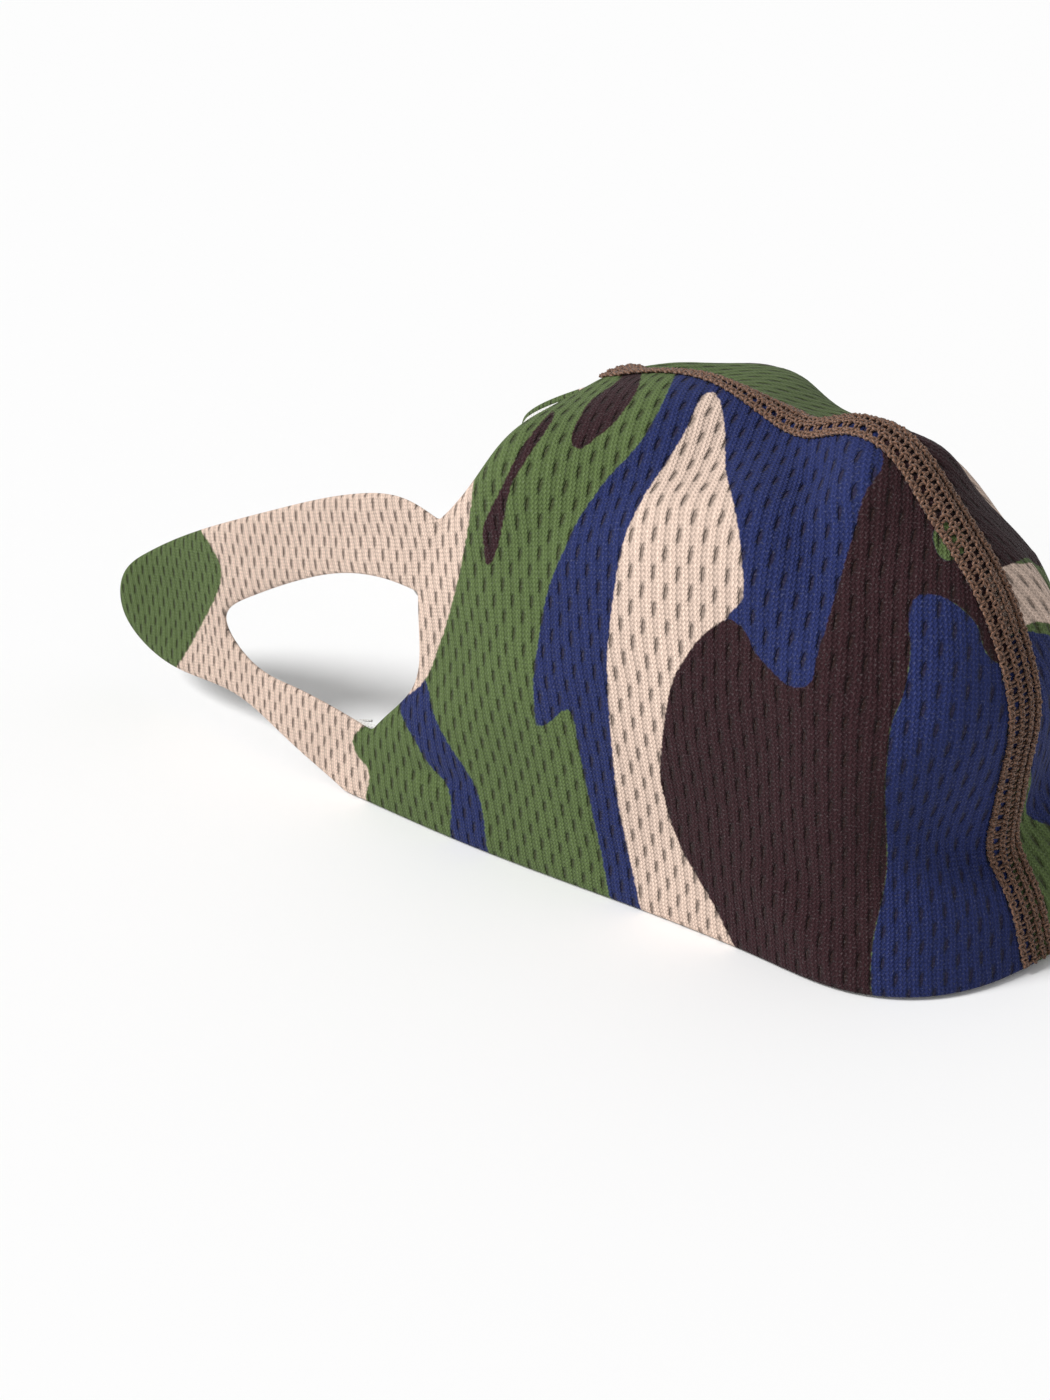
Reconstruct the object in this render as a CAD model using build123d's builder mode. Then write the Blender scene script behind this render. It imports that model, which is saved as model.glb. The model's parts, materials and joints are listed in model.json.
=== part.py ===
"""Knitted face mask: two moulded cloth halves joined by a flatlock seam, each with a lining and an ear loop."""

import os

from build123d import *

# ---- driving dimensions (mm). Origin: chin end of the seam, on the table. -Y is the wearer's front. ----
OUTER_THICK = 1.0  # printed birdseye knit
LINING_THICK = 0.6  # smooth inner jersey
BAND_THICK = 0.7  # cover thread lattice of the flatlock seam
NEEDLE_THICK = 0.3
LOOPER_THICK = 0.3
HEM_THREAD = 0.4
LAYER_GAP = 0.05  # clearance between threads and the cloth they lie on

NOSE_END = (0, 87, 60.5)  # where the seam meets the nose edge
EAR_LOW = (-41, 101, 0)  # ear loop's hinge line, bottom
EAR_HIGH = (-33, 88, 48)  # ear loop's hinge line, top
HOLE_DIP = 6.0  # how far the ear hole cuts forward of the hinge line
ARM_WIDTH = 12.5  # ear loop's arms
LOOP_LENGTH = 56.0  # from the hinge line to the back of the loop
LOOP_FLARE = 4.0  # outward drift of the loop's far end
LOOP_DROP = 6.0  # how far the lower arm falls away from the hinge line's foot
LOOP_TIP = 8.0  # width of the loop's back end, along the hinge line
LOOP_HEM = 1.6  # turned edge of the loop
ROOT_GAP = 1.2  # half of the fold's clearance between panel and loop
CHEEK_BULGE = 5.0  # fullness of the cheek beyond its edges

# Seam line in the plane of symmetry (y, z): chin, mouth, nose tip, bridge.
SEAM_POINTS = [
    (0, 0),
    (4, 12),
    (7, 27),
    (6, 38),
    (10, 49),
    (22, 63),
    (36, 70.5),
    (49, 67),
    (62, 68),
    (76, 65),
    (87, 60.5),
]
# Chin edge of the left half (x, y), on the table.
CHIN_POINTS = [(0, 0), (-8, 0.6), (-17, 4), (-24, 12), (-27, 26), (-31, 48), (-37, 75), (-41, 101)]
# Nose edge of the left half, from the seam to the top of the ear loop.
NOSE_POINTS = [NOSE_END, (-9, 85.5, 60), (-19, 83, 58), (-28, 83.5, 53.5), EAR_HIGH]

# Facet lines of the cloth, as shares of its width (s, seam to ear) and height (t, chin edge to nose edge).
BAND_SHARE = 0.026  # half of the flatlock seam
HEM_SHARE = 0.025  # turned edge
S_LINES = [0, BAND_SHARE, 0.14, 0.28, 0.44, 0.6, 0.8, 1 - HEM_SHARE, 1]
T_LINES = [0, HEM_SHARE, 0.12, 0.24, 0.36, 0.48, 0.58, 0.68, 0.78, 0.88, 1 - HEM_SHARE, 1]

os.makedirs("parts", exist_ok=True)

# ---- ear loop's plane: up the hinge line, and back from it ----
ear_low = Vector(*EAR_LOW)
ear_axis = (Vector(*EAR_HIGH) - ear_low).normalized()
ear_height = (Vector(*EAR_HIGH) - ear_low).length
loop_reach = Vector(-LOOP_FLARE, LOOP_LENGTH, 0)
loop_back = (loop_reach - ear_axis * loop_reach.dot(ear_axis)).normalized()
loop_out = ear_axis.cross(loop_back)
loop_plane = Plane(origin=ear_low, x_dir=ear_axis, z_dir=loop_out)


def ear_point(up, back):
    """Point of the ear loop's plane: up along the hinge line, back from it."""
    return ear_low + ear_axis * up + loop_back * back


# ---- cloth surface of the left half, blended from its four edges ----
seam_edge = Edge.make_spline([Vector(0, y, z) for y, z in SEAM_POINTS])
chin_edge = Edge.make_spline([Vector(x, y, 0) for x, y in CHIN_POINTS])
nose_edge = Edge.make_spline([Vector(*point) for point in NOSE_POINTS])
ear_edge = Edge.make_spline(
    [
        ear_low,
        ear_point(ARM_WIDTH, -ROOT_GAP),
        ear_point(ear_height / 2, -HOLE_DIP),
        ear_point(ear_height - ARM_WIDTH, -ROOT_GAP),
        Vector(*EAR_HIGH),
    ]
)


def cloth_point(s, t):
    """Smooth cloth surface of the left half."""
    across = (seam_edge @ t) * (1 - s) + (ear_edge @ t) * s
    along = (chin_edge @ s) * (1 - t) + (nose_edge @ s) * t
    low = (seam_edge @ 0) * (1 - s) + (chin_edge @ 1) * s
    high = (seam_edge @ 1) * (1 - s) + (nose_edge @ 1) * s
    fullness = 16 * s * (1 - s) * t * (1 - t) * CHEEK_BULGE
    return across + along - low * (1 - t) - high * t + Vector(-0.8, -0.2, 0.56) * fullness


def outward(s, t):
    """Normal of the cloth surface away from the face; it stays in the seam plane and on the table there."""
    step = 0.01
    s_back = min(s, 1 - step)
    t_back = min(t, 1 - step)
    along_s = cloth_point(s_back + step, t) - cloth_point(s_back, t)
    along_t = cloth_point(s, t_back + step) - cloth_point(s, t_back)
    normal = along_t.cross(along_s).normalized()
    if s == 0:
        normal = Vector(0, normal.Y, normal.Z).normalized()
    if t == 0:
        normal = Vector(normal.X, normal.Y, 0).normalized()
    return normal


FACET_CORNERS = {(s, t): (cloth_point(s, t), outward(s, t)) for s in S_LINES for t in T_LINES}


def bracket(lines, value):
    """Facet lines on both sides of a value, and how far the value is between them."""
    high = next(line for line in lines[1:] if value <= line)
    low = lines[lines.index(high) - 1]
    return low, high, (value - low) / (high - low)


def layer_point(s, t, height):
    """Point a given height above the faceted cloth."""
    s_low, s_high, s_share = bracket(S_LINES, s)
    t_low, t_high, t_share = bracket(T_LINES, t)
    point = Vector(0, 0, 0)
    for s_line, s_weight in ((s_low, 1 - s_share), (s_high, s_share)):
        for t_line, t_weight in ((t_low, 1 - t_share), (t_high, t_share)):
            corner, normal = FACET_CORNERS[s_line, t_line]
            point += (corner + normal * height) * (s_weight * t_weight)
    return point


def inside(lines, start, end):
    """Start, the facet lines strictly between start and end, and end."""
    return [start] + [line for line in lines if start < line < end] + [end]


def cloth_layer(s_range, t_range, low, high):
    """Closed solid of cloth between two heights above the cloth surface, in flat facets."""
    s_values = inside(S_LINES, *s_range)
    t_values = inside(T_LINES, *t_range)
    top = [[layer_point(s, t, high) for t in t_values] for s in s_values]
    bottom = [[layer_point(s, t, low) for t in t_values] for s in s_values]
    quads = []
    for i in range(len(s_values) - 1):
        for j in range(len(t_values) - 1):
            quads.append((top[i][j], top[i + 1][j], top[i + 1][j + 1], top[i][j + 1]))
            quads.append((bottom[i][j], bottom[i + 1][j], bottom[i + 1][j + 1], bottom[i][j + 1]))
    for i in range(len(s_values) - 1):
        for j in (0, -1):
            quads.append((bottom[i][j], bottom[i + 1][j], top[i + 1][j], top[i][j]))
    for j in range(len(t_values) - 1):
        for i in (0, -1):
            quads.append((bottom[i][j], bottom[i][j + 1], top[i][j + 1], top[i][j]))
    faces = []
    for a, b, c, d in quads:
        faces.append(Face(Wire.make_polygon([a, b, c])))
        faces.append(Face(Wire.make_polygon([a, c, d])))
    return Solid(Shell(faces))


OUTER_TOP = OUTER_THICK
BAND_LOW = OUTER_TOP + LAYER_GAP
BAND_TOP = BAND_LOW + BAND_THICK
LINING_TOP = -LAYER_GAP
LINING_LOW = LINING_TOP - LINING_THICK
HEM_NEAR = 0.25 * HEM_SHARE
HEM_FAR = 0.75 * HEM_SHARE
NEEDLE_ROWS = [(0.15, 0.3), (0.65, 0.8)]  # shares of the band's half width
LOOPER_ROWS = [(0.2, 0.4), (0.6, 0.8)]

# ---- outer cloth: printed knit, turned under along the chin, nose and ear edges ----
with BuildPart() as left_outer_panel:
    add(cloth_layer((0, 1), (0, 1), 0, OUTER_TOP))

# ---- lining: stops short of the turned edges ----
with BuildPart() as left_lining:
    add(cloth_layer((0, 1 - HEM_SHARE), (HEM_SHARE, 1 - HEM_SHARE), LINING_LOW, LINING_TOP))

# ---- centre seam: cover thread outside, needle threads on it, looper threads inside ----
with BuildPart() as seam_cover_thread:
    add(cloth_layer((0, BAND_SHARE), (0, 1), BAND_LOW, BAND_TOP))
    mirror(about=Plane.YZ)

with BuildPart() as seam_needle_threads:
    for near, far in NEEDLE_ROWS:
        needle_low = BAND_TOP + LAYER_GAP
        add(cloth_layer((near * BAND_SHARE, far * BAND_SHARE), (0, 1), needle_low, needle_low + NEEDLE_THICK))
    mirror(about=Plane.YZ)

with BuildPart() as seam_looper_threads:
    for near, far in LOOPER_ROWS:
        looper_top = LINING_LOW - LAYER_GAP
        looper_rows = (near * BAND_SHARE, far * BAND_SHARE)
        add(cloth_layer(looper_rows, (HEM_SHARE, 1 - HEM_SHARE), looper_top - LOOPER_THICK, looper_top))
    mirror(about=Plane.YZ)

# ---- hem threads: hidden inside the turned edges, beside the lining's end ----
with BuildPart() as left_chin_hem_thread:
    add(cloth_layer((0.03, 1 - HEM_SHARE), (HEM_NEAR, HEM_FAR), LINING_TOP - HEM_THREAD, LINING_TOP))

with BuildPart() as left_nose_hem_thread:
    add(cloth_layer((0.03, 1 - HEM_SHARE), (1 - HEM_FAR, 1 - HEM_NEAR), LINING_TOP - HEM_THREAD, LINING_TOP))

with BuildPart() as left_ear_hem_thread:
    add(cloth_layer((1 - HEM_FAR, 1 - HEM_NEAR), (HEM_SHARE, 1 - HEM_SHARE), LINING_TOP - HEM_THREAD, LINING_TOP))

# ---- ear loop: two arms that meet behind the ear, around a drop-shaped hole ----
with BuildSketch(loop_plane) as loop_shape:
    with BuildLine():
        Polyline(
            (0, ROOT_GAP),
            (0, 0.48 * LOOP_LENGTH),
            (-LOOP_DROP, 0.8 * LOOP_LENGTH),
            (-0.6 * LOOP_DROP, 0.97 * LOOP_LENGTH),
            (0.3 * LOOP_TIP, LOOP_LENGTH),
            (LOOP_TIP, 0.95 * LOOP_LENGTH),
            (0.35 * ear_height, 0.8 * LOOP_LENGTH),
            (0.64 * ear_height, 0.53 * LOOP_LENGTH),
            (0.88 * ear_height, 0.28 * LOOP_LENGTH),
            (ear_height, ROOT_GAP),
            (ear_height - ARM_WIDTH, ROOT_GAP),
            (0.64 * ear_height, 0.22 * LOOP_LENGTH),
            (0.42 * ear_height, 0.42 * LOOP_LENGTH),
            (0.2 * ear_height, 0.58 * LOOP_LENGTH),
            (0.14 * ear_height, 0.52 * LOOP_LENGTH),
            (0.2 * ear_height, 0.25 * LOOP_LENGTH),
            (ARM_WIDTH, ROOT_GAP),
            close=True,
        )
    make_face()

with BuildSketch(loop_plane) as loop_inner:
    add(loop_shape.sketch_local)
    offset(amount=-LOOP_HEM, kind=Kind.INTERSECTION)

with BuildSketch(loop_plane) as loop_stitch:
    add(loop_shape.sketch_local)
    offset(amount=-0.3 * LOOP_HEM, kind=Kind.INTERSECTION, mode=Mode.REPLACE)
    offset(loop_shape.sketch_local, amount=-0.7 * LOOP_HEM, kind=Kind.INTERSECTION, mode=Mode.SUBTRACT)

with BuildPart() as left_ear_loop:
    extrude(loop_shape.sketch, amount=OUTER_THICK)

with BuildPart() as left_ear_loop_lining:
    extrude(loop_inner.sketch, amount=-LINING_THICK)

with BuildPart() as left_ear_loop_thread:
    extrude(loop_stitch.sketch, amount=-HEM_THREAD)

# ---- name and write every piece; the right half mirrors the left, and the origin is under the middle ----
FRONT = seam_needle_threads.part.bounding_box().min.Y
BACK = left_ear_loop.part.bounding_box().max.Y
TO_ORIGIN = (0, -(FRONT + BACK) / 2, 0)
CENTRE_PIECES = {
    "seam_cover_thread": seam_cover_thread,
    "seam_needle_threads": seam_needle_threads,
    "seam_looper_threads": seam_looper_threads,
}
LEFT_PIECES = {
    "outer_panel": left_outer_panel,
    "lining": left_lining,
    "chin_hem_thread": left_chin_hem_thread,
    "nose_hem_thread": left_nose_hem_thread,
    "ear_hem_thread": left_ear_hem_thread,
    "ear_loop": left_ear_loop,
    "ear_loop_lining": left_ear_loop_lining,
    "ear_loop_thread": left_ear_loop_thread,
}


def write_piece(name, solid, mirrored=False):
    """Move a finished piece to the part's origin, name it and write it to its own STEP file."""
    with BuildPart() as placed:
        with Locations(TO_ORIGIN):
            add(solid)
        if mirrored:
            mirror(about=Plane.YZ, mode=Mode.REPLACE)
    placed.part.label = name
    export_step(placed.part, f"parts/{name}.step")


for name, piece in CENTRE_PIECES.items():
    write_piece(name, piece.part)

for name, piece in LEFT_PIECES.items():
    write_piece(f"left_{name}", piece.part)
    write_piece(f"right_{name}", piece.part, mirrored=True)

print("origin moved by", TO_ORIGIN)
print("hinge axis", ear_axis)
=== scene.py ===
"""Camouflage knit face mask: cloth halves, lining, ear loops and flatlock seam around the CAD frame."""

import json
import math

import bpy
import numpy as np
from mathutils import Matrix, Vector
from mathutils.kdtree import KDTree

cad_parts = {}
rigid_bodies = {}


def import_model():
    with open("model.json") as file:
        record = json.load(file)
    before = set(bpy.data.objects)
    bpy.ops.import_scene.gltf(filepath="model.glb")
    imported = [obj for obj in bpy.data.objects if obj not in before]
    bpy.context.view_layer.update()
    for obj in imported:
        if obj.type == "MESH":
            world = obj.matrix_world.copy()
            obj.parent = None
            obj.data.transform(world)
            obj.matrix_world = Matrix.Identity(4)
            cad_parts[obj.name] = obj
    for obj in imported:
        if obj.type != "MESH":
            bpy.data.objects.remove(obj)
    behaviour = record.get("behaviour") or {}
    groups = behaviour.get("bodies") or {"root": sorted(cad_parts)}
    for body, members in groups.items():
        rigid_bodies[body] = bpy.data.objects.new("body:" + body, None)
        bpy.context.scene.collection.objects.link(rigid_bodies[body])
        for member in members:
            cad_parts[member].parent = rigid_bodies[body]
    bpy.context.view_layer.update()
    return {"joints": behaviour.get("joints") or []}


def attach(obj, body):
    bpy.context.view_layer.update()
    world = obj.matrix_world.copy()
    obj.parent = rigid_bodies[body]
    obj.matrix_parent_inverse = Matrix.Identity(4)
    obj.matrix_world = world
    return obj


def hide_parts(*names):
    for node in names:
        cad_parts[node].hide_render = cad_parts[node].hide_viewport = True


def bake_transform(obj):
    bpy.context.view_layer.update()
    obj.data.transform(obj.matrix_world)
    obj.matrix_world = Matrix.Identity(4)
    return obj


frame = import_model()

MM = 0.001
rng = np.random.default_rng(7)

# ---- design points of the left half (the one towards -X), in mm from the seam's chin end; they are the CAD
# model's own driving points ----
SEAM_POINTS = [
    (0, 0, 0), (0, 4, 12), (0, 7, 27), (0, 6, 38), (0, 10, 49), (0, 22, 63),
    (0, 36, 70.5), (0, 49, 67), (0, 62, 68), (0, 76, 65), (0, 87, 60.5),
]
CHIN_POINTS = [
    (0, 0, 0), (-8, 0.6, 0), (-17, 4, 0), (-24, 12, 0), (-27, 26, 0), (-31, 48, 0), (-37, 75, 0),
    (-41, 101, 0),
]
EAR_LOW = np.array((-41.0, 101.0, 0.0))
EAR_HIGH = np.array((-33.0, 88.0, 48.0))
NOSE_POINTS = [(0, 87, 60.5), (-9, 85.5, 60), (-19, 83, 58), (-28, 83.5, 53.5), tuple(EAR_HIGH)]
HOLE_DIP = 6.0
ARM_WIDTH = 12.5
LOOP_LENGTH = 56.0
LOOP_FLARE = 4.0
CHEEK_BULGE = 5.0
BULGE_WAY = np.array((-0.8, -0.2, 0.56))
HOLE_CORNER = -1.2  # how far back the ear hole's two corners lie on the panel's ear edge

# The CAD hinge's foot is EAR_LOW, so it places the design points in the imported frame.
HINGE_FOOT = np.array(next(j["pos_m"] for j in frame["joints"] if j["child"] == "left_loop")) / MM
TO_FRAME = HINGE_FOOT - EAR_LOW

OUTER_MID = 0.5  # height of the outer cloth's middle over the design surface
OUTER_HALF = 0.45  # half of its thickness
LINING_MID = -0.36
LINING_HALF = 0.2
LINING_INSET = 1.3  # how far the lining's free edges stay inside the outer cloth's
EDGE_ROUND = 0.9  # how far the rounding of a turned edge reaches
GRID_STEP = 0.8  # facet size of the cloth

# A turned edge shows as a low ridge over its stitching, with a shallow groove where the turned cloth ends.
HEM_INSET = 2.6  # from the turned edge to the stitches and the ridge
HEM_RISE = 0.12
RIDGE_WIDTH = 1.7
GROOVE_INSET, GROOVE_WIDTH = 6.2, 0.8


# ---------------------------------------------------------------- curves and surfaces
def unit(v):
    """Vectors of v, each made one long."""
    return v / np.maximum(np.linalg.norm(v, axis=-1, keepdims=True), 1e-12)


def curve(points):
    """Natural cubic spline through points, as a function of a share from 0 to 1."""
    p = np.array(points, float)
    knots = np.concatenate([[0], np.cumsum(np.linalg.norm(np.diff(p, axis=0), axis=1))])
    knots /= knots[-1]
    h = np.diff(knots)
    n = len(p)
    system = np.eye(n)
    rhs = np.zeros_like(p)
    for i in range(1, n - 1):
        system[i, i - 1], system[i, i], system[i, i + 1] = h[i - 1], 2 * (h[i - 1] + h[i]), h[i]
        rhs[i] = 6 * ((p[i + 1] - p[i]) / h[i] - (p[i] - p[i - 1]) / h[i - 1])
    bend = np.linalg.solve(system, rhs)

    def at(share):
        share = np.clip(np.asarray(share, float), 0, 1)
        i = np.clip(np.searchsorted(knots, share, side="right") - 1, 0, n - 2)
        a = ((knots[i + 1] - share) / h[i])[..., None]
        b = ((share - knots[i]) / h[i])[..., None]
        step = h[i][..., None]
        curved = ((a**3 - a) * bend[i] + (b**3 - b) * bend[i + 1]) * step**2 / 6
        return a * p[i] + b * p[i + 1] + curved

    return at


ear_axis = unit(EAR_HIGH - EAR_LOW)
ear_height = np.linalg.norm(EAR_HIGH - EAR_LOW)
loop_reach = np.array((-LOOP_FLARE, LOOP_LENGTH, 0.0))
loop_back = unit(loop_reach - ear_axis * loop_reach.dot(ear_axis))
loop_out = np.cross(ear_axis, loop_back)


def ear_point(up, back):
    """Point of the ear loop's plane: up along the hinge line, back from it."""
    up, back = np.asarray(up, float), np.asarray(back, float)
    return EAR_LOW + up[..., None] * ear_axis + back[..., None] * loop_back


seam_edge = curve(SEAM_POINTS)
chin_edge = curve(CHIN_POINTS)
nose_edge = curve(NOSE_POINTS)
ear_edge = curve(
    [
        EAR_LOW,
        ear_point(ARM_WIDTH, HOLE_CORNER),
        ear_point(ear_height / 2, -HOLE_DIP),
        ear_point(ear_height - ARM_WIDTH, HOLE_CORNER),
        EAR_HIGH,
    ]
)


def plain_cloth(s, t):
    """Design surface of the left half: s runs from the seam to the ear, t from the chin to the nose edge."""
    s, t = np.broadcast_arrays(np.asarray(s, float), np.asarray(t, float))
    ws, wt = s[..., None], t[..., None]
    across = seam_edge(t) * (1 - ws) + ear_edge(t) * ws
    along = chin_edge(s) * (1 - wt) + nose_edge(s) * wt
    low = seam_edge(0) * (1 - ws) + EAR_LOW * ws
    high = seam_edge(1) * (1 - ws) + EAR_HIGH * ws
    fullness = 16 * ws * (1 - ws) * wt * (1 - wt) * CHEEK_BULGE
    return across + along - low * (1 - wt) - high * wt + BULGE_WAY * fullness


def normal_of(surface, s, t):
    """Outward normal of a surface of the left half; it lies in the plane of symmetry at the seam."""
    step = 0.004
    s = np.clip(np.asarray(s, float), step, 1 - step)
    t = np.clip(np.asarray(t, float), step, 1 - step)
    along_s = surface(s + step, t) - surface(s - step, t)
    along_t = surface(s, t + step) - surface(s, t - step)
    return unit(np.cross(along_t, along_s))


# ---------------------------------------------------------------- the print's chart
# The print is laid out on a flat chart seen from one point in front of the left cheek:
# a is mm to the wearer's right of the seam's chin end, b is mm above it.
VIEW_POINT = np.array((-0.3336, -0.3403, 0.2745)) / MM
LOOK_AZIMUTH, LOOK_ELEVATION = math.radians(-42), math.radians(29)
LOOK = -np.array(
    (
        math.sin(LOOK_AZIMUTH) * math.cos(LOOK_ELEVATION),
        -math.cos(LOOK_AZIMUTH) * math.cos(LOOK_ELEVATION),
        math.sin(LOOK_ELEVATION),
    )
)
RIGHT = unit(np.cross(LOOK, (0.0, 0.0, 1.0)))
UP = np.cross(RIGHT, LOOK)
CHART_DEPTH = 500.0


def project(points):
    """Slopes of points seen from VIEW_POINT, to the right and up."""
    w = points + TO_FRAME - VIEW_POINT
    depth = w @ LOOK
    return np.stack([w @ RIGHT / depth, w @ UP / depth], axis=-1)


CHART_ORIGIN = project(np.zeros(3))


def chart(points):
    """Places of points on the print's chart, in mm."""
    slopes = (project(points) - CHART_ORIGIN) * CHART_DEPTH
    return slopes * np.array((-1.0, 1.0))


OUTLINE_STEPS = 6


def closed_outline(points):
    """Smooth closed outline through points (Catmull-Rom)."""
    p = np.array(points, float)
    before, after, far = np.roll(p, 1, 0), np.roll(p, -1, 0), np.roll(p, -2, 0)
    out = []
    for k in range(OUTLINE_STEPS):
        u = k / OUTLINE_STEPS
        out.append(
            0.5
            * (
                2 * p
                + (after - before) * u
                + (2 * before - 5 * p + 4 * after - far) * u**2
                + (3 * p - before - 3 * after + far) * u**3
            )
        )
    return np.stack(out, axis=1).reshape(-1, 2)


def signed_distance(points, corners):
    """Distance to the closed outline through corners, negative inside it."""
    outline = closed_outline(corners)
    nearest = np.full(len(points), np.inf)
    crossings = np.zeros(len(points), int)
    for p, q in zip(outline, np.roll(outline, -1, 0)):
        edge = q - p
        share = np.clip(((points - p) @ edge) / max(edge @ edge, 1e-12), 0, 1)
        nearest = np.minimum(nearest, np.linalg.norm(points - p - share[:, None] * edge, axis=1))
        if p[1] != q[1]:
            straddles = (p[1] > points[:, 1]) != (q[1] > points[:, 1])
            at = p[0] + (points[:, 1] - p[1]) * edge[0] / edge[1]
            crossings += straddles & (points[:, 0] < at)
    return np.where(crossings % 2 == 1, -nearest, nearest)


EAR_BEIGE = [
    (77.4, 67.5), (78.8, 59), (80.2, 52), (82.3, 45), (84.4, 39.5), (87.8, 36.8), (91.3, 34.6),
    (94.3, 32), (94.2, 29.5), (92.3, 26.6), (93, 22), (94, 10), (120, -5), (230, -10), (230, 110), (85, 100),
    (76.5, 80),
]
LEFT_NAVY = {
    "stripe": [
        (85, 41), (87.6, 37.6), (87.8, 35.1), (84.7, 29.1), (81.3, 24.4), (81, 18), (81.4, 10), (75.4, 10),
        (75.9, 16.5), (77.3, 24.4), (81.2, 30.8), (83.2, 34.7), (84, 38.5),
    ],
    "front": [
        (46, 92), (50, 81.3), (54.5, 72.7), (59.1, 67.6), (62.4, 63), (64.8, 58.2), (67.5, 51.5),
        (69.2, 41.6), (69.3, 36.1), (68.8, 33.4), (67.1, 34), (65.1, 35.7), (63.9, 34.6), (63.1, 30.1),
        (61.7, 23.5), (59.8, 14.7), (57.4, 3), (55, -8), (35, -8), (32, 30), (0, 60), (-20, 70),
        (-20, 92),
    ],
    "seam": [
        (17.4, 48.5), (16.2, 51), (13.6, 51), (10.9, 49.6), (8.3, 46.9), (6, 42), (-6, 36), (-8, -10),
        (20.6, -8), (20.7, 13.4), (20.9, 22.8), (20.6, 28.1), (19.9, 33.5), (18.2, 37.5), (17.2, 42.8),
    ],
}
LEFT_BEIGE = [
    (45.2, 79), (46.8, 77.7), (49, 73.1), (54.5, 63.7), (57.1, 57.5), (58.9, 45.5), (59.1, 38.9),
    (58.4, 29.5), (57.4, 21.4), (54.3, 7.4), (52, -5), (36, -5), (40, 10), (43, 30), (43.5, 44),
    (42.4, 48.4), (40.2, 51.5), (41, 60.3), (42.7, 67.6), (43.2, 74), (44, 78.2),
]
LEFT_BROWN = {
    "drop": [
        (67.3, 76), (71.1, 71.7), (73.8, 66.4), (76.2, 61.6), (76.4, 58.9), (75.9, 55.8), (74.8, 56.8),
        (73.6, 62), (72.6, 66.4), (70.2, 70.5), (67.1, 75),
    ],
    "blob": [
        (55, 84), (58, 80.4), (61.7, 77.7), (64.2, 73.6), (64.3, 71.7), (63.1, 71.3), (61, 72.7), (58.2, 75),
        (55, 79.6),
    ],
    "front": [
        (38.8, -3), (42.3, 4.8), (45.6, 10.8), (49, 16.8), (51.2, 23.5), (51.7, 28.8), (50.4, 38.2),
        (48.7, 42.1), (46.3, 45.5), (43.7, 47.5), (42, 48.1), (40, 46.6), (38.4, 43.5), (34.6, 39.4),
        (32.3, 38.6), (30.6, 39.7), (30, 42.8), (28.3, 48.3), (24.9, 60.3), (23.7, 65), (21.5, 68.5),
        (17, 76), (-20, 76), (-20, -8), (34, -8),
    ],
}
SEAM_GREEN = [(14.3, 59.8), (13.6, 56.8), (12.3, 55.8), (10, 57), (9, 60), (12, 62)]
RIGHT_NAVY = {
    "seam": [
        (0, 46), (5, 45), (9, 41), (14, 35), (21, 33), (28, 28), (31, 16), (28, 3), (25, -8), (15, -8),
        (13, 8), (9, 20), (4, 27), (-6, 30), (-6, 44),
    ],
    "cheek": [
        (60, 62), (66, 62), (71, 54), (74, 44), (71, 37), (67.5, 45), (61, 52), (57, 56), (56, 60),
    ],
    "ear": [(80, 46), (86, 34), (84, 22), (87, 6), (80, 6), (77, 20), (79, 32), (76, 42)],
}
RIGHT_BEIGE = [
    (34, 79), (37, 70), (41, 60), (44, 48), (41, 38), (35, 36), (31, 44), (29, 54), (27, 62), (25, 70),
    (25, 78),
]
RIGHT_BEIGE_LOW = [
    (9, 55), (14, 50), (20, 46), (22, 40), (18, 37), (13, 39), (8, 44), (2, 46), (-4, 47), (-4, 54), (3, 53),
]
RIGHT_BROWN = {
    "bridge": [
        (25, 78), (26, 70), (28, 62), (30, 53), (31, 46), (28, 42), (24, 44), (19, 48), (13, 51), (8, 53.5),
        (0, 56), (0, 76), (14, 80),
    ],
    "cheek": [
        (47, 58), (56, 55), (63, 47), (66, 36), (62, 25), (64, 12), (60, -6), (46, -6), (48, 8), (46, 20),
        (41, 27), (40, 34), (46, 41), (45, 50),
    ],
    "top": [(70, 76), (75, 70), (78, 62), (76, 58), (72, 64), (68, 71)],
}
LOOP_GREEN = [(118, 62), (127, 60), (132, 50), (129, 41), (121, 40), (116, 47), (113, 55)]


def union(points, outlines):
    """Signed distance to the nearest of several outlines."""
    return np.min([signed_distance(points, o) for o in outlines], axis=0)


def print_fields(points, side):
    """Signed distances, in mm, to the navy, beige and brown of the print on one half."""
    at = chart(points)
    if side == "left":
        green = signed_distance(at, SEAM_GREEN)
        seam_navy = signed_distance(at, LEFT_NAVY["seam"])
        navy = np.maximum(union(at, LEFT_NAVY.values()), -green)
        beige = union(at, [EAR_BEIGE, LEFT_BEIGE])
        brown = np.maximum(union(at, LEFT_BROWN.values()), -np.minimum(seam_navy, green))
    else:
        navy = union(at, RIGHT_NAVY.values())
        beige = union(at, [EAR_BEIGE, RIGHT_BEIGE, RIGHT_BEIGE_LOW])
        brown = union(at, RIGHT_BROWN.values())
    return navy, np.maximum(beige, -signed_distance(at, LOOP_GREEN)), brown


# ---------------------------------------------------------------- folds and dents of the cloth
def hill(x, y, centre, reach):
    """Soft hill one high, round centre."""
    return np.exp(-(((x - centre[0]) / reach[0]) ** 2) - ((y - centre[1]) / reach[1]) ** 2)


def bump_at(at, centre, reach, turn=0.0):
    """Soft round or oval hill on the chart, turned by some degrees."""
    c, s = math.cos(math.radians(turn)), math.sin(math.radians(turn))
    d = at - np.array(centre)
    return hill(d[..., 0] * c + d[..., 1] * s, -d[..., 0] * s + d[..., 1] * c, (0, 0), reach)


RIDGE_SHARE, RIDGE_OFFSET = 0.6, 1.9  # a crease's ridge: its height beside the valley's, its place in widths


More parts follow.
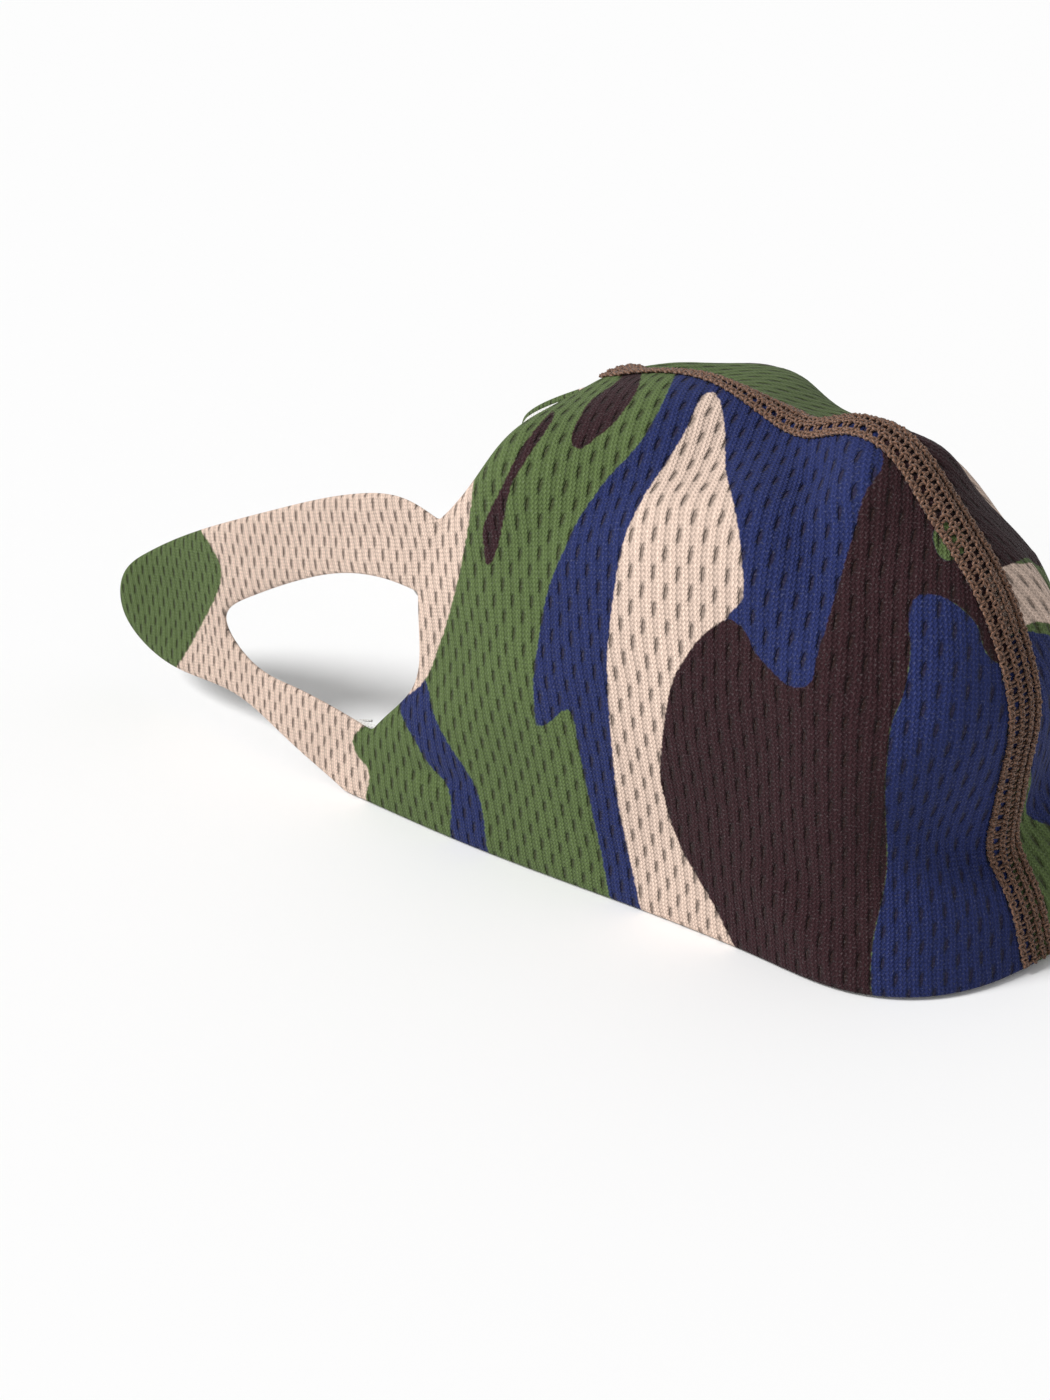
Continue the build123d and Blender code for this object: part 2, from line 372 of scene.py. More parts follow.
def crease(at, start, end, width):
    """Soft valley along a line of the chart, with a small ridge beside it; positive in the valley."""
    a, b = np.array(start, float), np.array(end, float)
    edge = b - a
    share = ((at - a) @ edge) / (edge @ edge)
    side = ((at - a) @ np.array((-edge[1], edge[0]))) / np.linalg.norm(edge)
    fade = np.clip(1 - np.abs(share - 0.5) * 2, 0, 1) ** 0.6
    ridge = np.exp(-(((side - RIDGE_OFFSET * width) / width) ** 2))
    return (np.exp(-((side / width) ** 2)) - RIDGE_SHARE * ridge) * fade


def ramp(share, reach):
    """Rises from 0 at share 0 to 1 at reach, and stays there."""
    return np.clip(share / reach, 0, 1)


# How far each half stands out (or in, if negative): beside the back of the seam, over the bridge, and at the
# nose edge.
SHOULDER = {"left": 1.5, "right": -2.6}
BRIDGE = {"left": 0.0, "right": -3.4}
NOSE_LIFT = {"left": 2.4, "right": -1.2}
# Where those are, as shares from the seam to the ear (s) and from the chin to the nose edge (t).
CROWN_T, CROWN_REACH = 0.86, 0.11
SHOULDER_S = 0.12
BRIDGE_AT, BRIDGE_REACH = (0.27, 0.7), (0.17, 0.15)
HOLLOW_AT, HOLLOW_REACH = (0.2, 0.6), (0.13, 0.12)
NOSE_AT, NOSE_REACH = (0.6, 1), (0.25, 0.25)


def cloth(s, t, side="left"):
    """Surface of a half, laid out as the left one, with its dents and creases. All rises are in mm."""
    s, t = np.broadcast_arrays(np.asarray(s, float), np.asarray(t, float))
    p = plain_cloth(s, t)
    at = chart(p)
    free = ramp(1 - s, 0.06) * ramp(t, 0.05) * ramp(1 - t, 0.05)  # the free edges keep their line
    crown = np.exp(-(((t - CROWN_T) / CROWN_REACH) ** 4))

    rise = -3.0 * bump_at(at, (8, 15), (9, 5.5), 10)  # dent beside the seam, over the chin
    rise -= 3.0 * bump_at(at, (31.5, 71), (6, 5), 20)  # dip of the bridge
    rise += 1.9 * bump_at(at, (24, 67), (5, 6)) * ramp(s, 0.05)  # knob in front of the dip
    rise -= 1.2 * crease(at, (33, 74), (30, 44), 4.2)  # fold that runs down from the dip
    rise += 1.8 * bump_at(at, (71, 69), (8, 8))  # fullness under the nose edge
    rise -= 1.2 * np.exp(-((s / 0.2) ** 2)) * crown
    rise += SHOULDER[side] * (s / SHOULDER_S) * np.exp(1 - s / SHOULDER_S) * crown
    rise += BRIDGE[side] * hill(s, t, BRIDGE_AT, BRIDGE_REACH) * ramp(s, 0.1)
    rise -= 2.6 * hill(s, t, HOLLOW_AT, HOLLOW_REACH)
    rise += 0.9 * bump_at(at, (12, 41), (6, 9))  # fullness over the mouth
    rise -= 0.9 * crease(at, (37, 17), (20, -1), 2.6)  # across the chin
    rise -= 0.7 * crease(at, (88, 28.5), (78, 24.5), 1.5)  # at the root of the ear loop
    rise -= 0.6 * crease(at, (20, 30), (24, 58), 4.0)  # up the front
    rise += 0.5 * bump_at(at, (52, 50), (9, 14), -15)  # fullness of the cheek
    rise -= 0.5 * crease(at, (70, 66), (66, 40), 4.5)  # down the back of the cheek
    rise += 0.25 * np.sin(at[..., 0] / 4.3 + at[..., 1] / 9.0) * np.sin(at[..., 1] / 6.1 - at[..., 0] / 13)

    normal = normal_of(plain_cloth, s, t)
    normal[..., 0] *= ramp(s, 0.04)
    nose = hill(s, t, NOSE_AT, NOSE_REACH) * ramp(1 - s, 0.15)
    lift = rise * free + NOSE_LIFT[side] * nose * ramp(s, 0.1)
    return p + normal * lift[..., None]


# The ear loop's outside and its hole, as (up along the hinge line, back from it, 0).
LOOP_OUTLINE = curve(
    [
        (0, 0, 0), (0, 14, 0), (-0.8, 27, 0), (-6, 44.8, 0), (-3.6, 54.3, 0), (2.4, 56, 0), (8, 53.2, 0),
        (17.6, 44.8, 0), (32.2, 29.7, 0), (44.3, 15.7, 0), (49.6, 6, 0), (ear_height, 0, 0),
    ]
)
HOLE_OUTLINE = curve(
    [
        (ARM_WIDTH, HOLE_CORNER, 0), (10.8, 7, 0), (8.4, 16, 0), (6.4, 27, 0), (9.4, 33, 0), (16, 29.5, 0),
        (24.5, 21.5, 0), (32.2, 12.3, 0), (36, 5, 0), (ear_height - ARM_WIDTH, HOLE_CORNER, 0),
    ]
)


# Rough lengths of the cloth, which set how many steps its mesh has and how far an inset moves its edges.
SEAM_RUN, CHIN_RUN, NOSE_RUN = 150.0, 114, 36
PANEL_RUN, GAP_RUN = 84, 90
LOOP_RUN = 135.0
JOIN_REACH = 7  # how far along each arm the loop still follows the panel's edge
EDGE_STEPS = np.array((0.06, 0.16, 0.32, 0.55, 0.85))  # mesh lines in the rounding of a turned edge


def graded(length, step, low_edge, high_edge):
    """Shares from 0 to 1, in even steps of a length, with finer ones beside the edges that are turned."""
    fine = EDGE_STEPS * EDGE_ROUND / length
    even = np.linspace(0, 1, max(4, int(round(length / step))) + 1)
    start = np.concatenate([[0], fine]) if low_edge else np.array([0.0])
    end = np.concatenate([[1], 1 - fine])[::-1] if high_edge else np.array([1.0])
    inner = even[(even > start[-1] + 0.4 * step / length) & (even < end[0] - 0.4 * step / length)]
    return np.concatenate([start, inner, end])


def ear_share(up):
    """Share along the ear edge at which it meets the corner of the ear hole at that height."""
    shares = np.linspace(0, 1, 400)
    return shares[np.argmin(np.linalg.norm(ear_edge(shares) - ear_point(up, HOLE_CORNER), axis=1))]


def loop_rows(inset, arm, first, last):
    """Rows of points across the ear loop, from its lower arm's root (first) round to its upper one (last)."""
    q = np.linspace(0, 1, int(LOOP_RUN / GRID_STEP))
    outer, hole_line = LOOP_OUTLINE(q)[:, :2], HOLE_OUTLINE(q)[:, :2]
    across = hole_line - outer
    width = np.linalg.norm(across, axis=1, keepdims=True)
    outer, hole_line = outer + across * inset / width, hole_line - across * inset / width
    flat = outer[:, None] * (1 - arm[None, :, None]) + hole_line[:, None] * arm[None, :, None]
    rows = ear_point(flat[..., 0], flat[..., 1])
    run = np.arange(len(q)) / (len(q) - 1) * LOOP_RUN
    fade_first = np.exp(-((run / JOIN_REACH) ** 2))[:, None, None]
    fade_last = np.exp(-(((LOOP_RUN - run) / JOIN_REACH) ** 2))[:, None, None]
    rows = rows + (first - rows[0])[None] * fade_first + (last - rows[-1])[None] * fade_last
    # soft ripples, which grow towards the tip
    back = np.clip(flat[..., 1] / LOOP_LENGTH, 0, 1)
    ripple = 0.9 * np.sin(flat[..., 0] / 7 + 1.2) * np.sin(flat[..., 1] / 8)
    ripple = ripple + 0.5 * np.sin(flat[..., 1] / 4.6)
    rows += loop_out * (ripple * back - 0.6 * back)[..., None]
    return rows


def middle_mesh(inset, side):
    """Points, quads and seam row of one half's cloth and ear loop, with its free edges set in by inset."""
    t_low, t_high = ear_share(ARM_WIDTH), ear_share(ear_height - ARM_WIDTH)
    arm = graded(ARM_WIDTH, GRID_STEP * 0.9, True, True)
    gap = graded(GAP_RUN, GRID_STEP, False, False)
    t_hat = np.concatenate([arm * t_low, t_low + (t_high - t_low) * gap[1:-1], 1 - arm[::-1] * (1 - t_high)])
    s_hat = graded(PANEL_RUN, GRID_STEP, False, True)
    n_arm, n_t = len(arm), len(t_hat)

    s, t = np.meshgrid(s_hat, t_hat, indexing="ij")
    t_in = inset / (SEAM_RUN + (ear_height - SEAM_RUN) * s)
    hole = ramp(np.minimum(t - t_low, t_high - t), 0.05)
    s_length = CHIN_RUN + (NOSE_RUN - CHIN_RUN) * t
    p = cloth(s * (1 - hole * inset / s_length), t_in + (1 - 2 * t_in) * t, side)
    loop = loop_rows(inset, arm, p[-1, :n_arm], p[-1, n_t - n_arm:][::-1])

    def panel_index(i, j):
        return i * n_t + j

    quads = [
        (panel_index(i, j), panel_index(i + 1, j), panel_index(i + 1, j + 1), panel_index(i, j + 1))
        for i in range(len(s_hat) - 1)
        for j in range(n_t - 1)
    ]

    def loop_index(k, r):
        if k == 0:
            return panel_index(len(s_hat) - 1, r)
        if k == len(loop) - 1:
            return panel_index(len(s_hat) - 1, n_t - 1 - r)
        return panel_index(len(s_hat), 0) + (k - 1) * n_arm + r

    for k in range(len(loop) - 1):
        for r in range(n_arm - 1):
            corners = ((k, r), (k + 1, r), (k + 1, r + 1), (k, r + 1))
            quads.append(tuple(loop_index(*corner) for corner in corners))
    # the loop's first and last rows are the panel's own points
    points = np.concatenate([p.reshape(-1, 3), loop[1:-1].reshape(-1, 3)])
    quads = np.array(quads)
    seam_row = np.arange(n_t)
    return smooth_at_hinge(points, quads), quads, seam_row


SMOOTH_REACH, SMOOTH_ROUNDS = 9, 40
FLOOR_REACH = 1.5  # points nearer to the floor than this are smoothed less
BORDER_SHARE = 0.15  # and so are those on a free edge


def smooth_at_hinge(points, quads):
    """Relaxes the cloth where the panel turns into the ear loop, so that no crease marks the hinge line."""
    edges = np.unique(quad_edges(quads), axis=0)
    back = (points - EAR_LOW) @ loop_back
    weight = np.clip(1 - np.abs(back) / SMOOTH_REACH, 0, 1)[:, None] * 0.5
    weight *= ramp(points[:, 2:3], FLOOR_REACH)
    border = np.zeros(len(points), bool)
    border[border_edges(quads).ravel()] = True
    weight[border] *= BORDER_SHARE
    for _ in range(SMOOTH_ROUNDS):
        total, count = np.zeros_like(points), np.zeros((len(points), 1))
        for a, b in ((0, 1), (1, 0)):
            np.add.at(total, edges[:, a], points[edges[:, b]])
            np.add.at(count, edges[:, a], 1)
        points = points + (total / count - points) * weight
    return points


def quad_edges(quads):
    """The four sides of every quad, each as a sorted pair of point numbers."""
    return np.sort(np.concatenate([quads[:, [k, (k + 1) % 4]] for k in range(4)]), axis=1)


def border_edges(quads):
    """Sides that belong to one quad only."""
    edges, counts = np.unique(quad_edges(quads), axis=0, return_counts=True)
    return edges[counts == 1]


def free_edges(quads, seam_row):
    """Border edges of the cloth; those along the seam aren't free."""
    edges = border_edges(quads)
    return edges[~np.isin(edges, seam_row).all(axis=1)]


def vertex_normals(points, quads):
    """Outward normals at the points."""
    a, b, c, d = (points[quads[:, k]] for k in range(4))
    face = np.cross(d - b, c - a)
    total = np.zeros_like(points)
    for k in range(4):
        np.add.at(total, quads[:, k], face)
    return unit(total)


def edge_distance(points, quads, seam_row):
    """Distance of each point to the nearest free edge."""
    edges = free_edges(quads, seam_row)
    starts, ends = points[edges[:, 0]], points[edges[:, 1]]
    samples = np.concatenate([starts * (1 - u) + ends * u for u in (0, 0.25, 0.5, 0.75)])
    tree = KDTree(len(samples))
    for i, p in enumerate(samples):
        tree.insert(p, i)
    tree.balance()
    distance = np.array([tree.find(p)[2] for p in points])
    distance[edges.ravel()] = 0
    return distance


# ---------------------------------------------------------------- flattening, for the knit's lattice
CHEEK_MIDDLE, CHEEK_REACH = (45, 40), 15  # the patch of the chart that the knit's direction is set on
KNIT_TURN = math.radians(-9)


def flatten(points, quads):
    """Lays the cloth flat by a conformal unwrap; gives each point's place in mm, and the cloth's own area."""
    mesh = bpy.data.meshes.new("flattening")
    mesh.from_pydata([tuple(p) for p in points], [], [tuple(int(i) for i in q) for q in quads])
    obj = bpy.data.objects.new("flattening", mesh)
    bpy.context.scene.collection.objects.link(obj)
    mesh.uv_layers.new(name="flat")
    for other in bpy.context.view_layer.objects:
        other.select_set(False)
    obj.select_set(True)
    bpy.context.view_layer.objects.active = obj
    bpy.ops.object.mode_set(mode="EDIT")
    bpy.ops.mesh.select_all(action="SELECT")
    bpy.ops.uv.unwrap(method="CONFORMAL", fill_holes=False, margin=0)
    bpy.ops.object.mode_set(mode="OBJECT")
    loop_uv = np.empty(len(mesh.loops) * 2)
    mesh.uv_layers[0].data.foreach_get("uv", loop_uv)
    corner = np.empty(len(mesh.loops), int)
    mesh.loops.foreach_get("vertex_index", corner)
    uv = np.zeros((len(points), 2))
    uv[corner] = loop_uv.reshape(-1, 2)
    bpy.data.objects.remove(obj)
    bpy.data.meshes.remove(mesh)

    # scaled to the cloth's own area, which is half the product of each quad's diagonals
    a, b, c, d = (quads[:, k] for k in range(4))
    area = sum(np.linalg.norm(np.cross(points[c] - points[a], points[d] - points[b]), axis=1)) / 2
    d1, d2 = uv[c] - uv[a], uv[d] - uv[b]
    signed = (d1[:, 0] * d2[:, 1] - d1[:, 1] * d2[:, 0]).sum() / 2
    uv *= math.sqrt(area / abs(signed))
    if signed > 0:
        uv[:, 0] *= -1
    # turned so that straight up on the cheek is KNIT_TURN from straight up on the flat cloth
    terms = np.concatenate([uv, np.ones((len(uv), 1))], axis=1)
    cheek = np.linalg.norm(chart(points) - np.array(CHEEK_MIDDLE), axis=1) < CHEEK_REACH
    fit, *_ = np.linalg.lstsq(terms[cheek], points[cheek, 2], rcond=None)
    turn = math.atan2(fit[0], fit[1]) + KNIT_TURN
    c, s = math.cos(turn), math.sin(turn)
    uv = uv @ np.array(((c, s), (-s, c)))
    return uv - uv.mean(axis=0), area


# ---------------------------------------------------------------- meshes
def new_mesh(name, points, faces, smooth=True):
    """Mesh object in metres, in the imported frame, from design points in mm."""
    mesh = bpy.data.meshes.new(name)
    mesh.from_pydata(((points + TO_FRAME) * MM).tolist(), [], faces)
    mesh.polygons.foreach_set("use_smooth", [smooth] * len(mesh.polygons))
    mesh.update()
    obj = bpy.data.objects.new(name, mesh)
    bpy.context.scene.collection.objects.link(obj)
    return obj


def set_uv(obj, uv):
    """Each point's place on the flat cloth, or along and round a thread, for the materials."""
    layer = obj.data.uv_layers.new(name="knit")
    corner = np.empty(len(obj.data.loops), int)
    obj.data.loops.foreach_get("vertex_index", corner)
    layer.data.foreach_set("uv", uv[corner].ravel())


def set_field(obj, name, values):
    """A number for each point, which a material reads by its name."""
    attribute = obj.data.attributes.new(name, "FLOAT", "POINT")
    attribute.data.foreach_set("value", np.asarray(values, np.float32))


def thicken(points, quads, seam_row, middle, half, hem):
    """Closed cloth of two faces that meet in rounded turned edges, with a rim along the seam.

    It gives the points, the faces, and the middle point that each point comes from."""
    normal = vertex_normals(points, quads)
    normal[seam_row] = unit(normal[seam_row] * np.array((0, 1, 1)))
    distance = edge_distance(points, quads, seam_row)
    round_share = np.clip(1 - distance / EDGE_ROUND, 0, 1)
    thick = half * np.sqrt(np.clip(1 - round_share**2, 0, 1))
    ridge = hem * np.exp(-(((distance - HEM_INSET) / RIDGE_WIDTH) ** 2))
    groove = 0.5 * hem * np.exp(-(((distance - GROOVE_INSET) / GROOVE_WIDTH) ** 2))
    top = points + normal * (middle + thick + (ridge - groove))[:, None]
    bottom = points + normal * (middle - thick)[:, None]
    top[:, 2] = np.maximum(top[:, 2], 0)
    bottom[:, 2] = np.maximum(bottom[:, 2], 0)
    on_edge = distance == 0
    count = len(points)
    under = np.where(on_edge, np.arange(count), np.arange(count) + count)
    faces = [tuple(int(i) for i in q) for q in quads[:, ::-1]]
    faces += [tuple(int(under[i]) for i in q) for q in quads]
    for a, b in zip(seam_row[:-1], seam_row[1:]):
        rim = [int(a), int(b), int(under[b]), int(under[a])]
        faces.append(tuple(dict.fromkeys(rim)))
    used = np.zeros(2 * count, bool)
    used[:count] = True
    used[under] = True
    renumber = np.cumsum(used) - 1
    every = np.concatenate([top, bottom])[used]
    faces = [tuple(int(renumber[i]) for i in f) for f in faces if len(f) > 2]
    source = np.concatenate([np.arange(count), np.arange(count)])[used]
    return every, faces, source


PRINT_COLOURS = ("navy_mm", "beige_mm", "brown_mm")
RIGHT_KNIT_SHIFT = (7.3, 4.1)  # keeps the right half's slits from mirroring the left half's


def make_cloth(name, side, inset, middle, half, hem, printed):
    """One half's cloth, outer or lining, with its ear loop; gives the object, its flat size and its area."""
    points, quads, seam_row = middle_mesh(inset, side)
    flat, area = flatten(points, quads)
    every, faces, source = thicken(points, quads, seam_row, middle, half, hem)
    uv = flat[source]
    if side == "right":
        every = every * np.array((-1, 1, 1))
        faces = [f[::-1] for f in faces]
        uv = uv * np.array((-1, 1)) + np.array(RIGHT_KNIT_SHIFT)
    obj = new_mesh(name, every, faces)
    set_uv(obj, uv)
    if printed:
        for label, values in zip(PRINT_COLOURS, print_fields(points, side)):
            set_field(obj, label, values[source])
    extent = flat.max(axis=0) - flat.min(axis=0)
    return obj, extent * MM, area * MM**2


def run_along(path):
    """Distance along a path to each of its points."""
    return np.concatenate([[0], np.cumsum(np.linalg.norm(np.diff(path, axis=0), axis=1))])


THREAD_SIDES = 6


def tube(path, radius):
    """Points and faces of a round thread along a path, with its distance along the path and round it."""
    sides = THREAD_SIDES
    tangent = unit(np.gradient(path, axis=0))
    side = unit(np.cross(tangent, np.array((0.0, 0.0, 1.0))))
    over = np.cross(side, tangent)
    angle = np.arange(sides) / sides * 2 * math.pi
    ring = side[:, None] * np.cos(angle)[None, :, None] + over[:, None] * np.sin(angle)[None, :, None]
    points = (path[:, None] + ring * radius).reshape(-1, 3)
    n = len(path)
    faces = [
        (i * sides + k, i * sides + m, (i + 1) * sides + m, (i + 1) * sides + k)
        for i in range(n - 1)
        for k, m in zip(range(sides), (*range(1, sides), 0))
    ]
    faces.append(tuple(range(sides))[::-1])
    faces.append(tuple((n - 1) * sides + k for k in range(sides)))
    uv = np.stack([np.repeat(run_along(path), sides), np.tile(np.arange(sides) / sides, n)], axis=1)
    return points, faces, uv


def join_tubes(name, tubes):
    """One piece of several threads."""
    points, faces, uvs, base = [], [], [], 0
    for p, f, uv in tubes:
        points.append(p)
        faces += [tuple(i + base for i in face) for face in f]
        uvs.append(uv)
        base += len(p)
    obj = new_mesh(name, np.concatenate(points), faces)
    set_uv(obj, np.concatenate(uvs))
    return obj


# ---------------------------------------------------------------- flatlock seam
SEAM_SHARES = np.linspace(0, 1, 1200)
seam_run = run_along(cloth(0, SEAM_SHARES))
SEAM_LENGTH = seam_run[-1]
PITCH = 2.0  # length of one stitch
THREAD_STEP = 0.24  # between the points of a looping thread
BESIDE_SEAM = 0.03  # share s at which the cloth's reach beside the seam is measured
FLAT_TOP = 1.5  # within about this of the seam, its two halves share one normal


def seam_point(run, offset, height):
    """Point over the seam: run mm along it, offset mm beside it (positive on the right half), height mm up."""
    run, offset, height = np.broadcast_arrays(*(np.asarray(v, float) for v in (run, offset, height)))
    t = np.interp(run, seam_run, SEAM_SHARES)
    reach = np.linalg.norm(cloth(BESIDE_SEAM, t) - cloth(0, t), axis=-1)
    s = BESIDE_SEAM * np.abs(offset) / reach
    flat_share = np.exp(-((offset / FLAT_TOP) ** 2))
    over = {}
    for side, flip in (("left", 1), ("right", -1)):
        normal = normal_of(lambda s, t: cloth(s, t, side), s, t)
        normal[..., 0] *= 1 - flat_share
        over[side] = (cloth(s, t, side) + unit(normal) * height[..., None]) * np.array((flip, 1, 1))
    return np.where((offset > 0)[..., None], over["right"], over["left"])


def chain(offset, height, swing, radius, phase=0.0, ends=0.4):
    """Two threads that loop round each other along the seam, as in a chain stitch."""
    run = np.arange(ends, SEAM_LENGTH - ends, THREAD_STEP)
    made = []
    for k in (0, 1):
        turn = 2 * math.pi * (run / PITCH + phase) + math.pi * k
        x = offset + swing * np.sin(turn)
        h = height + 0.13 * np.cos(2 * turn + math.pi * k)
        made.append(tube(seam_point(run, x, h), radius))
    return made


def cross_threads(height, radius, reach, phase, lean):
    """Threads that cross the seam from edge to edge, once a stitch."""
    made = []
    u = np.linspace(-1, 1, 15)
    for start in np.arange(0.8 + phase, SEAM_LENGTH - 1.6, PITCH):
        jitter = rng.normal(0, 0.05)
        run = start + lean * u + jitter + 0.12 * np.sin(3 * math.pi * u)
        made.append(tube(seam_point(run, reach * u, height + 0.16 * np.cos(4 * math.pi * u)), radius))
    return made


# ---------------------------------------------------------------- hem stitching
HEM_HEIGHT = LINING_MID - LINING_HALF + 0.08  # top of the stitches, just inside the lining's inner face
HEM_SINK = 0.2  # how far each stitch arches inward
HEM_STITCH = 2.4
HEM_THREAD = 0.17
HEM_FLOOR = 0.2


def free_lines(quads, seam_row):
    """Free edges of the cloth as ordered lines of point numbers: the outside first, then the ear hole."""
    beside = {}
    for a, b in free_edges(quads, seam_row).tolist():
        beside.setdefault(a, []).append(b)
        beside.setdefault(b, []).append(a)
    waiting = set(beside)
    starts = [k for k in sorted(beside) if len(beside[k]) == 1][:1]
    lines = []
    while waiting:
        here = starts.pop() if starts else min(waiting)
        line = []
        while here is not None:
            line.append(here)
            waiting.discard(here)
            here = next((k for k in beside[here] if k in waiting), None)
        if line[0] in beside[line[-1]] and len(line) > 2:
            line.append(line[0])
        lines.append(line)
    return lines


def hem_stitches(name, side):
    """Running stitch inside the turned edges of one half and its ear loop."""
    points, quads, seam_row = middle_mesh(HEM_INSET, side)
    normal = vertex_normals(points, quads)
    tubes = []
    for line in free_lines(quads, seam_row):
        path, out = points[line], normal[line]
        length = run_along(path)
        even = np.arange(2.5, length[-1] - 2.0, 0.3)
        path = np.stack([np.interp(even, length, path[:, k]) for k in range(3)], axis=1)
        out = np.stack([np.interp(even, length, out[:, k]) for k in range(3)], axis=1)
        wave = np.abs(np.sin(math.pi * even / HEM_STITCH)) ** 0.6
        path = path + unit(out) * (HEM_HEIGHT - HEM_SINK * wave)[:, None]
        path[:, 2] = np.maximum(path[:, 2], HEM_FLOOR)
        if side == "right":
            path = path * np.array((-1, 1, 1))
        tubes.append(tube(path, HEM_THREAD))
    return join_tubes(name, tubes)


# ---------------------------------------------------------------- materials
class Nodes:
    """Short names for building a node tree."""

    def __init__(self, name):
        self.material = bpy.data.materials.new(name)
        self.material.use_nodes = True
        self.tree = self.material.node_tree
        self.shader = self.tree.nodes["Principled BSDF"]

    def math(self, operation, *values, clamp=False):
        node = self.tree.nodes.new("ShaderNodeMath")
        node.operation = operation
        node.use_clamp = clamp
        for socket, value in zip(node.inputs, values):
            self.put(socket, value)
        return node.outputs[0]

    def put(self, socket, value):
        """Links a node's output to the socket, or sets the socket to a plain value."""
        if isinstance(value, bpy.types.NodeSocket):
            self.tree.links.new(value, socket)
        else:
            socket.default_value = value

    def mix(self, share, a, b):
        node = self.tree.nodes.new("ShaderNodeMix")
        node.data_type = "RGBA"
        self.put(node.inputs["Factor"], share)
        self.put(node.inputs["A"], a)
        self.put(node.inputs["B"], b)
        return node.outputs["Result"]

    def step(self, value, low, high, to_low=0.0, to_high=1.0):
        """Goes smoothly from to_low to to_high as value goes from low to high."""
        node = self.tree.nodes.new("ShaderNodeMapRange")
        node.interpolation_type = "SMOOTHSTEP"
        for socket, v in zip(node.inputs, (value, low, high, to_low, to_high)):
            self.put(socket, v)
        return node.outputs[0]

    def field(self, name):
        """A number stored on the mesh by set_field."""
        node = self.tree.nodes.new("ShaderNodeAttribute")
        node.attribute_name = name
        return node.outputs["Fac"]

    def noise(self, vector, scale, detail=2.0):
        node = self.tree.nodes.new("ShaderNodeTexNoise")
        self.put(node.inputs["Vector"], vector)
        node.inputs["Scale"].default_value = scale
        node.inputs["Detail"].default_value = detail
        return node.outputs["Fac"]

    def wander(self, vector, scale, reach, detail=2.0):
        """Noise about zero, times reach."""
        return self.math("MULTIPLY", self.math("SUBTRACT", self.noise(vector, scale, detail), 0.5), reach)

    def vector_math(self, operation, vector, socket, value):
        node = self.tree.nodes.new("ShaderNodeVectorMath")
        node.operation = operation
        self.put(node.inputs[0], vector)
        self.put(node.inputs[socket], value)
        return node.outputs[0]

    def flat_place(self):
        """Place on the flat cloth, as a vector and as its two numbers, in mm."""
        uv = self.tree.nodes.new("ShaderNodeUVMap")
        uv.uv_map = "knit"
        split = self.tree.nodes.new("ShaderNodeSeparateXYZ")
        self.put(split.inputs[0], uv.outputs[0])
        return uv.outputs[0], split.outputs[0], split.outputs[1]

    def bump(self, height):
        """Bump from a height in mm."""
        node = self.tree.nodes.new("ShaderNodeBump")
        node.inputs["Strength"].default_value = 1.0
        node.inputs["Distance"].default_value = MM
        self.put(node.inputs["Height"], height)
        self.put(self.shader.inputs["Normal"], node.outputs[0])


def colour(r, g, b):
    """Linear colour of an sRGB triple from 0 to 255."""
    shares = (c / 255 for c in (r, g, b))
    return tuple(((c + 0.055) / 1.055) ** 2.4 if c > 0.04 else c / 12.92 for c in shares) + (1.0,)


BEIGE = colour(217, 193, 177)
GREEN = colour(88, 105, 62)
NAVY = colour(36, 45, 92)
BROWN = colour(50, 28, 32)
THREAD = colour(148, 106, 80)
# painted shade for the grooves between the seam thread's plies; HEM_SHADE is the same for the white hem thread
THREAD_GROOVE_SHADE = colour(46, 30, 24)
WHITE_KNIT = colour(236, 235, 232)
HEM_SHADE = colour(190, 186, 180)
HOLE_SHADE = colour(52, 34, 26)

HOLE_ACROSS, HOLE_ROW = 3.3, 2.2  # spacing of the knit's holes along a row, and of the rows, in mm
SLIT_WIDTH, SLIT_HEIGHT, SLIT_LEAN = 0.22, 0.88, 0.14
SLIT_DEPTH, HALO_DEPTH = 0.42, 0.14  # a slit, and the soft hollow round it
RIB, COURSE, LOOP_HEIGHT = HOLE_ACROSS / 6, 0.62, 0.11  # the fine ribs and stitches between the slits


